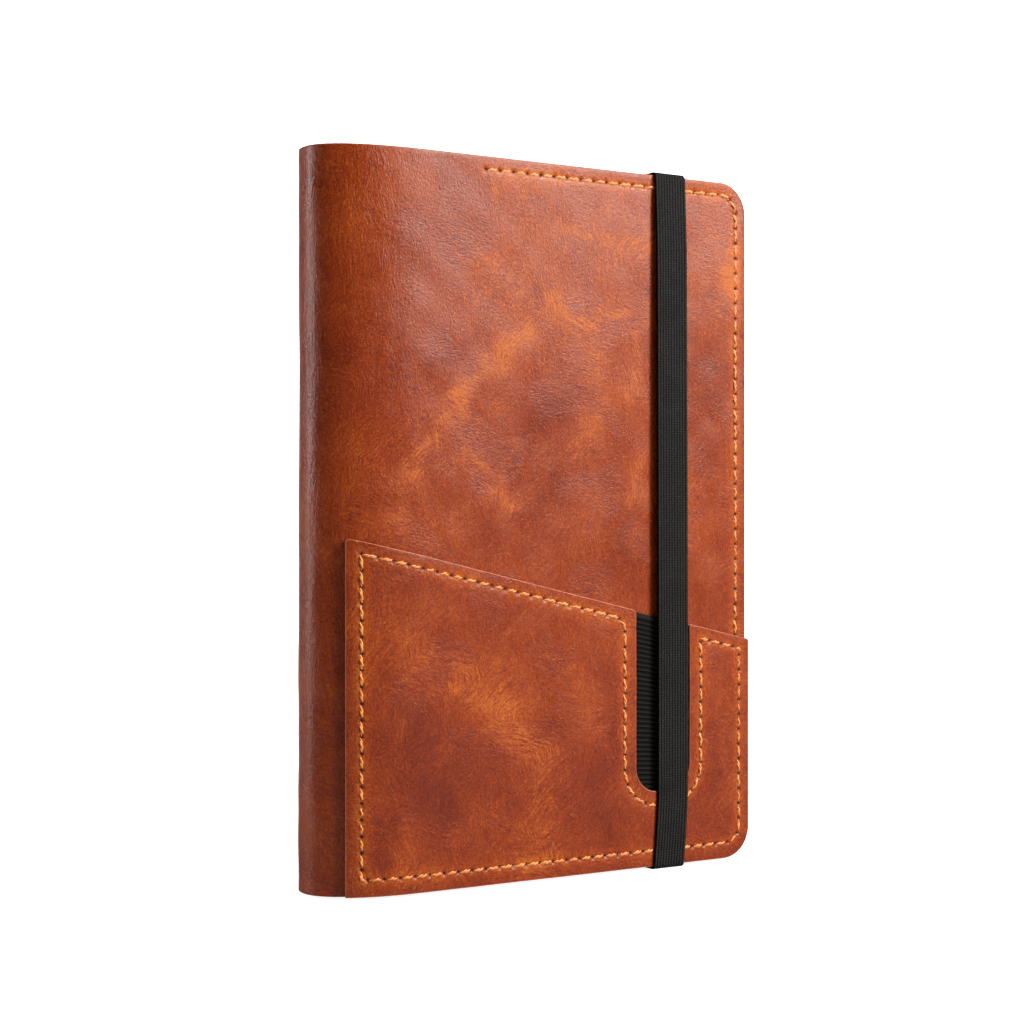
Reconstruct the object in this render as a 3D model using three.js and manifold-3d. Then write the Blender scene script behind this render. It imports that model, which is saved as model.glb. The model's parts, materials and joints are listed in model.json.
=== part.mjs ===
// Leather cover for a hardbound A5 notebook, standing upright and held shut by an elastic band.
// Millimetres, +Z up. The front cover faces -Y, the spine is at -X and the fore-edge at +X.
// The origin is under the middle of the whole object, at the lowest point of the band.
//
// Two distances place everything on a cover. "across" is measured from the fore-edge towards
// the spine. "depth" is measured inwards from the cover's flat outer face, so a negative depth
// is outside the leather.

import * as THREE from "three";
import { mergeVertices } from "three/addons/utils/BufferGeometryUtils.js";
import Module from "manifold-3d";

const wasm = await Module();
wasm.setup();

// ---- Driving dimensions ----------------------------------------------------------------

const COVER_HEIGHT = 220;
const COVER_WIDTH = 153;
const COVER_DEPTH = 32;
const COVER_CORNER = 10;
const LEATHER = 1.8;

const SPINE_CURVE_START = 120;
const SPINE_CURVE_POWER = 2.3;
const FOLD_DEPTH = 8;
const FOLD_GAP = 0.3;

const LINING = 0.5;
const POCKET_LEATHER = 1.25;
const POCKET_WIDTH = 145;
const POCKET_TOP_AT_FORE_EDGE = 71;
const POCKET_TOP_RISE = 0.233;
const NOTCH_NEAR = 24;
const NOTCH_FAR = 45.1;
const NOTCH_BOTTOM = 23.8;
const NOTCH_RADIUS = 8;
const PEN_LOOP_MARGIN = 6;

const SLEEVE_WIDTH = 103;
const SLEEVE_LEATHER = 1.2;
const SLEEVE_DEPTH = 4.55;
const SLEEVE_LIP = 5.2;

const BOARD_DEPTH = 2.4;
const BOARD = 1.8;
const BOARD_FORE_EDGE = 6;
const BOARD_SPINE_EDGE = 129;
const BOARD_MARGIN = 5.5;
const ENDPAPER = 0.2;

const PAGES_DEPTH = 6;
const PAGES_FORE_EDGE = 8.5;
const PAGES_MARGIN = 8;
const PAGE_CORNER = 5;
const SECTION_SPINE_EDGES = [143, 145.5, 147];
const SPINE_STRIP_ACROSS = 147.4;
const SPINE_STRIP = 1;
const SPINE_STRIP_DEPTH = 10;
const HEADBAND_DEPTH = 10;
const HEADBAND_WIDTH = 2.6;
const HEADBAND_HEIGHT = 1.3;

const SEAM_INSET = 4.1;
const SEAM_BOTTOM_INSET = 5;
const SEAM_END = 99.6;
const POCKET_TOP_SEAM_INSET = 3.8;
const NOTCH_SEAM_INSET = 4.4;
const NOTCH_SEAM_CORNER = 5;
const THREAD_WIDTH = 1;
const THREAD_THICKNESS = 0.45;
const GROOVE_WIDTH = 1.6;
const GROOVE_DEPTH = 0.55;
const THREAD_SINK = 0.05;

const BAND_WIDTH = 11.9;
const BAND_THICKNESS = 1;
const BAND_CENTRE = 31.3;
const BAND_STAND_OFF = 0.1;
const BAND_TAIL = 5.2;

const TOUCH_GAP = 0.05;
const MOVING_GAP = 0.3;
const ARC_STEPS = 8;
const CURVE_STEPS = 12;
const OVERSHOOT = 5;

// ---- Sizes worked out from them ----------------------------------------------------------

const FRONT = -1;
const BACK = 1;
const HALF_DEPTH = COVER_DEPTH / 2;
const LEATHER_BOTTOM = BAND_THICKNESS;
const LEATHER_TOP = LEATHER_BOTTOM + COVER_HEIGHT;
const OBJECT_TOP = LEATHER_TOP + BAND_THICKNESS;
const SPINE_CURVE_WIDTH = COVER_WIDTH - SPINE_CURVE_START;
const POCKET_PROUD = LINING + POCKET_LEATHER + TOUCH_GAP;
const RUN_INNER_DEPTH = -(POCKET_PROUD + BAND_STAND_OFF);
const RUN_OUTER_DEPTH = RUN_INNER_DEPTH - BAND_THICKNESS;
const CENTRING = -RUN_OUTER_DEPTH / 2;
const BAND_NEAR = BAND_CENTRE - BAND_WIDTH / 2;
const BAND_FAR = BAND_CENTRE + BAND_WIDTH / 2;
const SECTION_STEP = (HALF_DEPTH - PAGES_DEPTH - MOVING_GAP / 2) / SECTION_SPINE_EDGES.length;

const xAt = (across) => COVER_WIDTH / 2 - across;
const yAt = (side, depth) => side * (HALF_DEPTH - depth);
const pocketTopAt = (across) => LEATHER_BOTTOM + POCKET_TOP_AT_FORE_EDGE + POCKET_TOP_RISE * across;

// ---- Materials ---------------------------------------------------------------------------

const leather = material("#8e5030", 0.55);
const pocketSkin = material("#96572f", 0.55);
const sleeveSkin = material("#8a5233", 0.62);
const liningCloth = material("#b5835a", 0.85);
const thread = material("#c9793a", 0.6);
const elastic = material("#17161a", 0.8);
const bookCloth = material("#2b2b2e", 0.75);
const paper = material("#efe6d2", 0.9);
const headCloth = material("#c9bda4", 0.8);

function material(color, roughness) {
  return new THREE.MeshStandardMaterial({ color, roughness, metalness: 0 });
}

// ---- Solids: joining and cutting ---------------------------------------------------------

function toSolid(geometry) {
  geometry.deleteAttribute("normal");
  geometry.deleteAttribute("uv");
  const merged = mergeVertices(geometry, 1e-4);
  return new wasm.Manifold(new wasm.Mesh({
    numProp: 3,
    vertProperties: new Float32Array(merged.attributes.position.array),
    triVerts: new Uint32Array(merged.index.array),
  }));
}

function toGeometry(solid) {
  const mesh = solid.getMesh();
  const geometry = new THREE.BufferGeometry();
  geometry.setAttribute("position", new THREE.BufferAttribute(mesh.vertProperties, 3));
  geometry.setIndex(new THREE.BufferAttribute(mesh.triVerts, 1));
  return geometry;
}

// A shape drawn in plan, pushed up from one height to another.
function column(shape, low, high) {
  const geometry = new THREE.ExtrudeGeometry(shape, { depth: high - low, bevelEnabled: false });
  geometry.translate(0, 0, low);
  return toSolid(geometry);
}

// A shape drawn on a cover's face, in x and z, pushed through from one y to another.
function slab(shape, nearY, farY) {
  const low = Math.min(nearY, farY);
  const high = Math.max(nearY, farY);
  const geometry = new THREE.ExtrudeGeometry(shape, { depth: high - low, bevelEnabled: false });
  geometry.rotateX(Math.PI / 2);
  geometry.translate(0, high, 0);
  return toSolid(geometry);
}

// A slab of one cover between two depths.
const layer = (shape, side, outer, inner) => slab(shape, yAt(side, outer), yAt(side, inner));

// A slab that goes through the whole object, to cut or trim with.
const through = (shape) => slab(shape, -HALF_DEPTH - OVERSHOOT, HALF_DEPTH + OVERSHOOT);

// ---- Outlines on a cover's face ----------------------------------------------------------

// Corners are [across, height, radius]. Each rounded corner becomes an arc.
function filleted(corners, closed) {
  const points = [];
  const count = corners.length;
  corners.forEach(([across, height, radius], index) => {
    const here = new THREE.Vector2(across, height);
    const isEnd = !closed && (index === 0 || index === count - 1);
    if (!radius || isEnd) {
      points.push(here);
      return;
    }
    const before = new THREE.Vector2(...corners[(index + count - 1) % count]);
    const after = new THREE.Vector2(...corners[(index + 1) % count]);
    points.push(...arcAt(here, before, after, radius));
  });
  return points;
}

function arcAt(here, before, after, radius) {
  const arriving = here.clone().sub(before).normalize();
  const leaving = after.clone().sub(here).normalize();
  const turn = Math.atan2(arriving.cross(leaving), arriving.dot(leaving));
  const reach = radius * Math.tan(Math.abs(turn) / 2);
  const start = here.clone().addScaledVector(arriving, -reach);
  const inward = new THREE.Vector2(-arriving.y, arriving.x).multiplyScalar(Math.sign(turn));
  const centre = start.clone().addScaledVector(inward, radius);
  const steps = Math.max(2, Math.ceil(Math.abs(turn) / (Math.PI / 2) * ARC_STEPS));
  const points = [];
  for (let step = 0; step <= steps; step += 1) {
    points.push(start.clone().rotateAround(centre, turn * step / steps));
  }
  return points;
}

const onFace = (points) => points.map((point) => new THREE.Vector2(xAt(point.x), point.y));

const faceShape = (corners) => new THREE.Shape(onFace(filleted(corners, true)));

// A strip of even width that follows a seam.
function ribbon(corners, width, closed) {
  const path = filleted(corners, closed);
  const left = offsetPath(path, width / 2, closed);
  const right = offsetPath(path, -width / 2, closed);
  if (!closed) {
    return new THREE.Shape(onFace([...left, ...right.reverse()]));
  }
  const [outer, inner] = spanOf(left) > spanOf(right) ? [left, right] : [right, left];
  const shape = new THREE.Shape(onFace(outer));
  shape.holes.push(new THREE.Path(onFace(inner)));
  return shape;
}

const spanOf = (points) => new THREE.Box2().setFromPoints(points).getSize(new THREE.Vector2()).length();

function offsetPath(path, distance, closed) {
  const count = path.length;
  return path.map((point, index) => {
    const first = index === 0 && !closed;
    const last = index === count - 1 && !closed;
    const before = path[(index + count - 1) % count];
    const after = path[(index + 1) % count];
    const arriving = first ? sideways(point, after) : sideways(before, point);
    const leaving = last ? arriving : sideways(point, after);
    const middle = arriving.clone().add(leaving).normalize();
    return point.clone().addScaledVector(middle, distance / middle.dot(arriving));
  });
}

function sideways(from, to) {
  const along = to.clone().sub(from).normalize();
  return new THREE.Vector2(-along.y, along.x);
}

// ---- The wrap's section in plan ----------------------------------------------------------

// The section is flat, then turns through a superellipse to the middle of the spine.
// turn runs from 0, where the curve starts, to 1 at the middle of the spine.
function sectionPoint(turn, outwards) {
  const angle = turn * Math.PI / 2;
  const along = Math.sin(angle) ** (2 / SPINE_CURVE_POWER);
  const inwards = Math.cos(angle) ** (2 / SPINE_CURVE_POWER);
  const normal = new THREE.Vector2(
    along ** (SPINE_CURVE_POWER - 1) / SPINE_CURVE_WIDTH,
    -(inwards ** (SPINE_CURVE_POWER - 1)) / HALF_DEPTH,
  ).normalize();
  return new THREE.Vector2(
    SPINE_CURVE_START + SPINE_CURVE_WIDTH * along + normal.x * outwards,
    HALF_DEPTH * (1 - inwards) + normal.y * outwards,
  );
}

// The turn at which the outer surface has reached a given depth.
function turnAtDepth(depth) {
  return Math.acos((1 - depth / HALF_DEPTH) ** (SPINE_CURVE_POWER / 2)) * 2 / Math.PI;
}

// The turn at which the outer surface has reached a given distance across.
function turnAtAcross(across) {
  const along = (across - SPINE_CURVE_START) / SPINE_CURVE_WIDTH;
  return Math.asin(along ** (SPINE_CURVE_POWER / 2)) * 2 / Math.PI;
}

function curveTurns(from, to) {
  const turns = [];
  for (let step = 0; step <= CURVE_STEPS; step += 1) {
    turns.push(from + (to - from) * step / CURVE_STEPS);
  }
  return turns;
}

const inPlan = (points, side) => points.map((point) => new THREE.Vector2(xAt(point.x), yAt(side, point.y)));

// A sheet that follows one cover's outer surface from the fore-edge to a turn of the spine curve.
// outer and inner are how far its two faces stand outside that surface.
function coverSheet(side, outer, inner, lastTurn) {
  const turns = curveTurns(0, lastTurn);
  const outerEdge = [new THREE.Vector2(0, -outer), ...turns.map((turn) => sectionPoint(turn, outer))];
  const innerEdge = [new THREE.Vector2(0, -inner), ...turns.map((turn) => sectionPoint(turn, inner))];
  const shape = new THREE.Shape(inPlan([...outerEdge, ...innerEdge.reverse()], side));
  return column(shape, LEATHER_BOTTOM, LEATHER_TOP);
}

// ---- Seams -------------------------------------------------------------------------------

const topSeam = LEATHER_TOP - SEAM_INSET;
const bottomSeam = LEATHER_BOTTOM + SEAM_BOTTOM_INSET;
const seamCorner = COVER_CORNER - SEAM_INSET;

const threeSidedSeam = [
  [SEAM_END, topSeam],
  [SEAM_INSET, topSeam, seamCorner],
  [SEAM_INSET, bottomSeam, seamCorner],
  [SEAM_END, bottomSeam],
];

const frontCoverSeam = [
  [SEAM_END, topSeam],
  [SEAM_INSET, topSeam, seamCorner],
  [SEAM_INSET, pocketTopAt(SEAM_INSET) + MOVING_GAP],
];

const pocketSeamTopAt = (across) => pocketTopAt(across) - POCKET_TOP_SEAM_INSET;
const notchSeamNear = NOTCH_NEAR - NOTCH_SEAM_INSET;
const notchSeamFar = NOTCH_FAR + NOTCH_SEAM_INSET;
const notchSeamBottom = LEATHER_BOTTOM + NOTCH_BOTTOM - NOTCH_SEAM_INSET;
const notchSeamRadius = NOTCH_RADIUS + NOTCH_SEAM_INSET;
const pocketSeamFar = POCKET_WIDTH - SEAM_INSET;

const pocketSeam = [
  [SEAM_INSET, bottomSeam, seamCorner],
  [SEAM_INSET, pocketSeamTopAt(SEAM_INSET)],
  [notchSeamNear, pocketSeamTopAt(notchSeamNear)],
  [notchSeamNear, notchSeamBottom, notchSeamRadius],
  [notchSeamFar, notchSeamBottom, notchSeamRadius],
  [notchSeamFar, pocketSeamTopAt(notchSeamFar), NOTCH_SEAM_CORNER],
  [pocketSeamFar, pocketSeamTopAt(pocketSeamFar)],
  [pocketSeamFar, bottomSeam],
];

const groove = (seam, closed) => through(ribbon(seam, GROOVE_WIDTH, closed));
const stitchLine = (seam, closed) => through(ribbon(seam, THREAD_WIDTH, closed));

// The top skin of a sheet that is cut away under a seam, and the thread that lies there.
const grooveSkin = (side, proud, lastTurn) => (
  coverSheet(side, proud + OVERSHOOT, proud - GROOVE_DEPTH, lastTurn));
const threadSkin = (side, proud, lastTurn) => (
  coverSheet(side, proud - THREAD_SINK, proud - THREAD_SINK - THREAD_THICKNESS, lastTurn));

// ---- Leather wrap ------------------------------------------------------------------------

const foldTurn = turnAtDepth(FOLD_DEPTH);
const foldGapTurn = foldTurn - turnAtDepth(FOLD_DEPTH - FOLD_GAP / 2);
const coverEndTurn = foldTurn - foldGapTurn;
const spineEndTurn = foldTurn + foldGapTurn;

const coverOutline = faceShape([
  [0, LEATHER_BOTTOM, COVER_CORNER],
  [0, LEATHER_TOP, COVER_CORNER],
  [COVER_WIDTH, LEATHER_TOP],
  [COVER_WIDTH, LEATHER_BOTTOM],
]);

function coverPanel(side, seam) {
  return coverSheet(side, 0, -LEATHER, coverEndTurn)
    .intersect(through(coverOutline))
    .subtract(grooveSkin(side, 0, coverEndTurn).intersect(groove(seam, false)));
}

function spinePanel() {
  const turns = curveTurns(spineEndTurn, 1);
  const outer = turns.map((turn) => sectionPoint(turn, 0));
  const inner = turns.map((turn) => sectionPoint(turn, -LEATHER));
  const outline = [
    ...inPlan(outer, FRONT),
    ...inPlan(outer, BACK).reverse().slice(1),
    ...inPlan(inner, BACK),
    ...inPlan(inner, FRONT).reverse().slice(1),
  ];
  return column(new THREE.Shape(outline), LEATHER_BOTTOM, LEATHER_TOP);
}

// ---- Outside pocket and pen loop ---------------------------------------------------------

const pocketTurn = turnAtAcross(POCKET_WIDTH);

const pocketOutline = faceShape([
  [0, LEATHER_BOTTOM, COVER_CORNER],
  [0, pocketTopAt(0)],
  [NOTCH_NEAR, pocketTopAt(NOTCH_NEAR)],
  [NOTCH_NEAR, LEATHER_BOTTOM + NOTCH_BOTTOM, NOTCH_RADIUS],
  [NOTCH_FAR, LEATHER_BOTTOM + NOTCH_BOTTOM, NOTCH_RADIUS],
  [NOTCH_FAR, pocketTopAt(NOTCH_FAR), 1.5],
  [POCKET_WIDTH, pocketTopAt(POCKET_WIDTH)],
  [POCKET_WIDTH, LEATHER_BOTTOM],
]);

const penLoopCorners = (margin) => [
  [NOTCH_NEAR - margin, LEATHER_BOTTOM + NOTCH_BOTTOM - margin],
  [NOTCH_NEAR - margin, pocketTopAt(NOTCH_NEAR - margin)],
  [NOTCH_FAR + margin, pocketTopAt(NOTCH_FAR + margin)],
  [NOTCH_FAR + margin, LEATHER_BOTTOM + NOTCH_BOTTOM - margin],
];

const pocketLeather = () => (
  coverSheet(FRONT, POCKET_PROUD, POCKET_PROUD - POCKET_LEATHER, pocketTurn)
    .intersect(through(pocketOutline))
    .subtract(grooveSkin(FRONT, POCKET_PROUD, pocketTurn).intersect(groove(pocketSeam, true))));

// The elastic fills its own window in the lining, so that the two lie side by side.
function penLoopWindow() {
  const corners = penLoopCorners(PEN_LOOP_MARGIN + MOVING_GAP);
  corners[1][1] += OVERSHOOT;
  corners[2][1] += OVERSHOOT;
  return through(faceShape(corners));
}

const pocketLining = () => (
  coverSheet(FRONT, LINING, TOUCH_GAP, pocketTurn)
    .intersect(through(pocketOutline))
    .subtract(penLoopWindow()));

const penLoop = () => (
  layer(faceShape(penLoopCorners(PEN_LOOP_MARGIN)), FRONT, -LINING, -TOUCH_GAP));

// ---- Inner sleeves -----------------------------------------------------------------------

const sleeveOutline = faceShape([
  [0, LEATHER_BOTTOM, COVER_CORNER],
  [0, LEATHER_TOP, COVER_CORNER],
  [SLEEVE_WIDTH, LEATHER_TOP],
  [SLEEVE_WIDTH, LEATHER_BOTTOM],
]);

const sleeveMouth = faceShape([
  [SLEEVE_LIP, LEATHER_BOTTOM + SLEEVE_LIP],
  [SLEEVE_LIP, LEATHER_TOP - SLEEVE_LIP],
  [SLEEVE_WIDTH + OVERSHOOT, LEATHER_TOP - SLEEVE_LIP],
  [SLEEVE_WIDTH + OVERSHOOT, LEATHER_BOTTOM + SLEEVE_LIP],
]);

const sleeveInnerFace = SLEEVE_DEPTH + SLEEVE_LEATHER;

function innerSleeve(side) {
  return layer(sleeveOutline, side, LEATHER + TOUCH_GAP, sleeveInnerFace)
    .subtract(layer(sleeveMouth, side, 0, SLEEVE_DEPTH))
    .subtract(layer(ribbon(threeSidedSeam, GROOVE_WIDTH, false), side,
      sleeveInnerFace - GROOVE_DEPTH, sleeveInnerFace + OVERSHOOT));
}

// Two notches in the back sleeve's lip, where the band's ends are sewn in.
function tailNotch(low, high) {
  return layer(rectangle(BAND_NEAR - MOVING_GAP, BAND_FAR + MOVING_GAP, low, high),
    BACK, 0, LEATHER + BAND_THICKNESS + 2 * TOUCH_GAP);
}

const backSleeve = () => (
  innerSleeve(BACK)
    .subtract(tailNotch(LEATHER_TOP - BAND_TAIL - MOVING_GAP, LEATHER_TOP + OVERSHOOT))
    .subtract(tailNotch(LEATHER_BOTTOM - OVERSHOOT, LEATHER_BOTTOM + BAND_TAIL + MOVING_GAP)));

const sleeveThread = (side) => layer(ribbon(threeSidedSeam, THREAD_WIDTH, false), side,
  sleeveInnerFace - THREAD_SINK - THREAD_THICKNESS, sleeveInnerFace - THREAD_SINK);

// ---- Elastic band ------------------------------------------------------------------------

function rectangle(near, far, low, high) {
  return faceShape([[near, low], [near, high], [far, high], [far, low]]);
}

const bandPiece = (low, high, fromY, toY) => slab(rectangle(BAND_NEAR, BAND_FAR, low, high), fromY, toY);

const bandRun = () => (
  bandPiece(0, OBJECT_TOP, yAt(FRONT, RUN_INNER_DEPTH), yAt(FRONT, RUN_OUTER_DEPTH)));

const bandLeg = (low, high) => (
  bandPiece(low, high, yAt(FRONT, RUN_INNER_DEPTH + MOVING_GAP), yAt(BACK, LEATHER)));

const bandTail = (low, high) => (
  bandPiece(low, high, yAt(BACK, LEATHER + TOUCH_GAP), yAt(BACK, LEATHER + BAND_THICKNESS)));

// ---- The notebook inside -----------------------------------------------------------------

const boardLow = LEATHER_BOTTOM + BOARD_MARGIN;
const boardHigh = LEATHER_TOP - BOARD_MARGIN;
const pagesLow = LEATHER_BOTTOM + PAGES_MARGIN;
const pagesHigh = LEATHER_TOP - PAGES_MARGIN;

function leaf(side, outer, inner, spineEdge, inset) {
  const outline = faceShape([
    [BOARD_FORE_EDGE + inset, boardLow + inset, PAGE_CORNER],
    [BOARD_FORE_EDGE + inset, boardHigh - inset, PAGE_CORNER],
    [spineEdge, boardHigh - inset],
    [spineEdge, boardLow + inset],
  ]);
  return layer(outline, side, outer, inner);
}

const board = (side) => leaf(side, BOARD_DEPTH, BOARD_DEPTH + BOARD, BOARD_SPINE_EDGE, 0);

const endpaperDepth = BOARD_DEPTH + BOARD + TOUCH_GAP;
const endpaper = (side) => (
  leaf(side, endpaperDepth, endpaperDepth + ENDPAPER, BOARD_SPINE_EDGE, 1));

function pageSection(side, order) {
  const outline = faceShape([
    [PAGES_FORE_EDGE, pagesLow, PAGE_CORNER],
    [PAGES_FORE_EDGE, pagesHigh, PAGE_CORNER],
    [SECTION_SPINE_EDGES[order], pagesHigh],
    [SECTION_SPINE_EDGES[order], pagesLow],
  ]);
  const outer = PAGES_DEPTH + SECTION_STEP * order;
  return layer(outline, side, outer, outer + SECTION_STEP - TOUCH_GAP);
}

const spineStrip = () => slab(
  rectangle(SPINE_STRIP_ACROSS, SPINE_STRIP_ACROSS + SPINE_STRIP, boardLow, boardHigh),
  yAt(FRONT, SPINE_STRIP_DEPTH), yAt(BACK, SPINE_STRIP_DEPTH));

const headbandAcross = SECTION_SPINE_EDGES.at(-1);

function headband(low) {
  const near = headbandAcross - HEADBAND_WIDTH;
  const round = HEADBAND_HEIGHT / 3;
  const outline = faceShape([
    [near, low, round],
    [near, low + HEADBAND_HEIGHT, round],
    [headbandAcross, low + HEADBAND_HEIGHT, round],
    [headbandAcross, low, round],
  ]);
  return slab(outline, yAt(FRONT, HEADBAND_DEPTH), yAt(BACK, HEADBAND_DEPTH));
}

// ---- Assembly ----------------------------------------------------------------------------

const cover = new THREE.Group();
cover.position.y = CENTRING;

function add(name, solid, skin) {
  const mesh = new THREE.Mesh(toGeometry(solid), skin);
  mesh.name = name;
  cover.add(mesh);
}

add("front_cover_panel", coverPanel(FRONT, frontCoverSeam), leather);
add("spine_panel", spinePanel(), leather);
add("back_cover_panel", coverPanel(BACK, threeSidedSeam), leather);

add("front_pocket_panel", pocketLeather(), pocketSkin);
add("front_pocket_lining", pocketLining(), liningCloth);
add("pen_loop_elastic", penLoop(), elastic);

add("front_inner_sleeve", innerSleeve(FRONT), sleeveSkin);
add("back_inner_sleeve", backSleeve(), sleeveSkin);

const frontThread = threadSkin(FRONT, 0, coverEndTurn).intersect(stitchLine(frontCoverSeam, false));
const backThread = threadSkin(BACK, 0, coverEndTurn).intersect(stitchLine(threeSidedSeam, false));
const pocketThread = threadSkin(FRONT, POCKET_PROUD, pocketTurn).intersect(stitchLine(pocketSeam, true));
add("front_perimeter_thread", frontThread, thread);
add("back_perimeter_thread", backThread, thread);
add("pocket_thread", pocketThread, thread);
add("front_sleeve_thread", sleeveThread(FRONT), thread);
add("back_sleeve_thread", sleeveThread(BACK), thread);

add("band_front_run", bandRun(), elastic);
add("band_top_leg", bandLeg(LEATHER_TOP + TOUCH_GAP, OBJECT_TOP), elastic);
add("band_bottom_leg", bandLeg(0, LEATHER_BOTTOM - TOUCH_GAP), elastic);
add("band_upper_tail", bandTail(LEATHER_TOP - BAND_TAIL, LEATHER_TOP), elastic);
add("band_lower_tail", bandTail(LEATHER_BOTTOM, LEATHER_BOTTOM + BAND_TAIL), elastic);

add("notebook_front_board", board(FRONT), bookCloth);
add("notebook_back_board", board(BACK), bookCloth);
add("notebook_spine_strip", spineStrip(), bookCloth);
add("front_endpaper", endpaper(FRONT), paper);
add("back_endpaper", endpaper(BACK), paper);

SECTION_SPINE_EDGES.forEach((_, order) => {
  add(`page_section_${order + 1}`, pageSection(FRONT, order), paper);
  add(`page_section_${6 - order}`, pageSection(BACK, order), paper);
});

add("headband_top", headband(pagesHigh + TOUCH_GAP), headCloth);
add("headband_bottom", headband(pagesLow - TOUCH_GAP - HEADBAND_HEIGHT), headCloth);

export default cover;
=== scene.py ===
"""The looks of a leather notebook cover: a stitched wrap with a pen pocket, held shut by an elastic band.

Lengths are millimetres, and new_piece turns them into metres; only the lights are placed in metres.
A place on a cover is its length along the leather from the fore-edge, its height, and how proud it
stands of the cover's outer face, less than zero inside. "across" is the straight distance from the
fore-edge, the same as the length as far as the spine's curve. Each cover has a side: FRONT faces -Y
and BACK faces +Y.
"""

import json
import math

import bpy
import numpy as np
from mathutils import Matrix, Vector
from mathutils.geometry import delaunay_2d_cdt
from mathutils.kdtree import KDTree


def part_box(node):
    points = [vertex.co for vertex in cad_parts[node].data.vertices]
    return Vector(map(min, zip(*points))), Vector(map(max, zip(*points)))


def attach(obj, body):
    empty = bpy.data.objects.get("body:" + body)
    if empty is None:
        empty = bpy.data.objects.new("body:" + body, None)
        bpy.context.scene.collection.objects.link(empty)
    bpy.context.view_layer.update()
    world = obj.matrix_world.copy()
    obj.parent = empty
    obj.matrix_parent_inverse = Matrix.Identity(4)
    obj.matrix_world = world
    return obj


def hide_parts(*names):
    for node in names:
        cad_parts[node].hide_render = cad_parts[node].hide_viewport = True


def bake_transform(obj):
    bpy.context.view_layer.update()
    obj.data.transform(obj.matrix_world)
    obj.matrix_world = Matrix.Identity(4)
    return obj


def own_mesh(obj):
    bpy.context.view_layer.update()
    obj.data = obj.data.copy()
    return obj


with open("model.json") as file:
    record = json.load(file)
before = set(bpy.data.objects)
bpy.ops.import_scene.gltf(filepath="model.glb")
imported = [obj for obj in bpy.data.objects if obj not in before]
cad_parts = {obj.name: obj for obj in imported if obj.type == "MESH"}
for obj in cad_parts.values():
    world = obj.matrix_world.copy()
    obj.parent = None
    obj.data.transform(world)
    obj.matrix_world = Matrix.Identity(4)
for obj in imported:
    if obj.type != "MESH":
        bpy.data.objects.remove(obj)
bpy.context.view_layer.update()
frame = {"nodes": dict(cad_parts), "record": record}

# ---- Sizes from the frame ----

MM = 0.001
FRONT = -1
BACK = 1
WORDS = {FRONT: "front", BACK: "back"}


def box_mm(node):
    low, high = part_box(node)
    return np.round(np.array(low) / MM, 3), np.round(np.array(high) / MM, 3)


cover_low, cover_high = box_mm("front_cover_panel")
back_high = box_mm("back_cover_panel")[1]
spine_low = box_mm("spine_panel")[0]
pocket_low = box_mm("front_pocket_panel")[0]
sleeve_high = box_mm("front_inner_sleeve")[1]
run_low, run_high = box_mm("band_front_run")
leg_low, leg_high = box_mm("band_top_leg")
tail_low, tail_high = box_mm("band_upper_tail")

FORE_EDGE_X = cover_high[0]
COVER_WIDTH = FORE_EDGE_X - spine_low[0]
LOW = cover_low[2]
HIGH = cover_high[2]
MIDDLE_Y = (cover_low[1] + back_high[1]) / 2
HALF_DEPTH = (back_high[1] - cover_low[1]) / 2
MIDDLE_Z = (LOW + HIGH) / 2

COVER_CORNER = 10
LEATHER = 1.8
CURVE_START = 120
CURVE_POWER = 2.3

POCKET_OUT = cover_low[1] - pocket_low[1]
POCKET_LEATHER = 1.25
LINING_OUT = 0.5
TOUCH_GAP = 0.05
POCKET_WIDTH = 145
POCKET_TOP = LOW + 71
POCKET_SLOPE = 0.233
NOTCH_NEAR = 24
NOTCH_FAR = 45.1
NOTCH_BOTTOM = LOW + 23.8
NOTCH_RADIUS = 8
PEN_LOOP_MARGIN = 6
PEN_LOOP_RIB = 1.45

SEAM_INSET = 4.1
SEAM_END = 99.6
SEAM_BOTTOM = LOW + 5
SEAM_TOP = HIGH - SEAM_INSET
SEAM_CORNER = COVER_CORNER - SEAM_INSET
NOTCH_SEAM_INSET = 4.4
COVER_PITCH = 4.95
POCKET_PITCH = 4.82
STITCH_SLANT = 0.5
PIT_RADIUS = 0.8

BAND_CENTRE = FORE_EDGE_X - (run_low[0] + run_high[0]) / 2
BAND_HALF_WIDTH = (run_high[0] - run_low[0]) / 2


def pocket_top_at(across):
    return POCKET_TOP + POCKET_SLOPE * across


def smooth(start, end, value):
    """0 up to the start and 1 from the end, with an even slope between them."""
    share = np.clip((value - start) / (end - start), 0, 1)
    return share * share * (3 - 2 * share)


# ---- The cover's section ----


def reach_along(path):
    """How far along the path each of its points is."""
    return np.concatenate([[0], np.cumsum(np.hypot(*np.diff(path, axis=0).T))])


# Flat from the fore-edge, then a superellipse to the middle of the spine. The tables give, for a
# length along the leather, the distance across, the depth and the outward normal.
turn = np.linspace(0, math.pi / 2, 1201)
along = np.sin(turn) ** (2 / CURVE_POWER)
inwards = np.maximum(np.cos(turn), 0) ** (2 / CURVE_POWER)
curve_width = COVER_WIDTH - CURVE_START
curve = np.stack([CURVE_START + curve_width * along, HALF_DEPTH * (1 - inwards)])
normal = np.stack([along ** (CURVE_POWER - 1) / curve_width, -(inwards ** (CURVE_POWER - 1)) / HALF_DEPTH])
LENGTHS = np.concatenate([[0], CURVE_START + reach_along(curve.T)])
ACROSS, DEPTHS = np.hstack([[[0], [0]], curve])
NORMAL_ACROSS, NORMAL_DEPTH = np.hstack([[[0], [-1]], normal / np.hypot(*normal)])
HALF_LENGTH = LENGTHS[-1]


def length_at(across):
    return np.interp(across, ACROSS, LENGTHS)


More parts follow.
